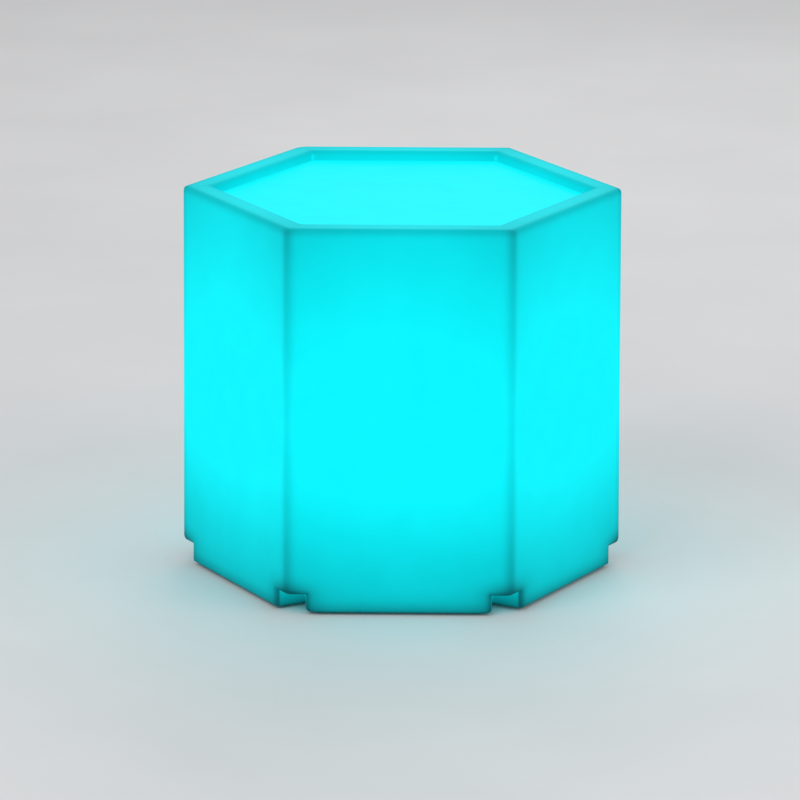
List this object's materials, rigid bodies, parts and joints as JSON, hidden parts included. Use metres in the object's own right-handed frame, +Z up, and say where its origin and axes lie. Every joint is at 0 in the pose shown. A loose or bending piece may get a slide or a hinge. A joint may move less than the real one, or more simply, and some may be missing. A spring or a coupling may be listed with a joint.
{
  "type": "led plinth table",
  "caption": "Tall hexagonal plinth table of moulded translucent plastic, lit from inside, with a shallow recess in its top and small cut-outs at its bottom corners",
  "frame": {"origin": "centre of the plan, on the floor under the feet", "axes": "+X towards a corner and along the longest extent, +Z up out of the top, -Y towards the flat face seen in the picture"},
  "size_m": [0.4966, 0.433, 0.4375],
  "materials": {
    "shell": "satin",
    "foot_rubber": "matt",
    "seal_rubber": "matt",
    "insert_brass": "machined",
    "base_plastic": "moulded satin",
    "screw_steel": "zinc plated",
    "cell_wrap": "shrink wrap",
    "nickel_strip": "nickel",
    "strap_plastic": "moulded",
    "board": "solder mask",
    "connector_plastic": "moulded",
    "chip_plastic": "moulded",
    "capacitor_can": "sleeved can",
    "spreader_aluminium": "rolled sheet",
    "light_board": "white solder mask",
    "light_chip": "clear resin",
    "diffuser_plastic": "opal",
    "switch_plastic": "moulded",
    "button_plastic": "moulded",
    "spring_steel": "drawn wire",
    "terminal_metal": "tinned",
    "cover_rubber": "matt",
    "lead_sleeve": "sleeved",
    "indicator": "clear resin"
  },
  "bodies": {
    "plinth": {"plinth_shell": "shell", "rubber_feet": "foot_rubber", "threaded_inserts": "insert_brass", "base_gasket": "seal_rubber", "lamp_base": "base_plastic", "control_housing": "base_plastic", "lamp_tub": "base_plastic", "base_screws": "screw_steel", "battery_cells": "cell_wrap", "battery_tabs": "nickel_strip", "battery_bracket": "strap_plastic", "bracket_screws": "screw_steel", "control_board": "board", "board_screws": "screw_steel", "board_connectors": "connector_plastic", "board_chips": "chip_plastic", "board_capacitors": "capacitor_can", "heat_spreader": "spreader_aluminium", "led_board": "light_board", "led_chips": "light_chip", "diffuser_seal": "seal_rubber", "diffuser": "diffuser_plastic", "diffuser_screws": "screw_steel", "switch_body": "switch_plastic", "button_spring": "spring_steel", "switch_seal": "seal_rubber", "switch_clip": "strap_plastic", "switch_terminals": "terminal_metal", "charge_socket": "switch_plastic", "socket_pin": "terminal_metal", "socket_clip": "strap_plastic", "socket_terminals": "terminal_metal", "cover_pin": "screw_steel", "charge_light": "indicator", "switch_leads": "lead_sleeve", "socket_leads": "lead_sleeve", "light_leads": "lead_sleeve", "led_leads": "lead_sleeve", "battery_leads": "lead_sleeve"},
    "button": {"power_button": "button_plastic"},
    "cover": {"socket_cover": "cover_rubber"}
  },
  "joints": [
    {"name": "button_press", "type": "slide", "parent": "plinth", "child": "button", "axis": [0, 0, 1], "range_m": [0, 0.0015], "stiffness_N_per_m": 1500, "deforming": ["button_spring"]},
    {"name": "cover_hinge", "type": "hinge", "parent": "plinth", "child": "cover", "pos_m": [0.015, -0.032, 0.0179], "axis": [0, 1, 0], "range_deg": [0, 150]}
  ]
}
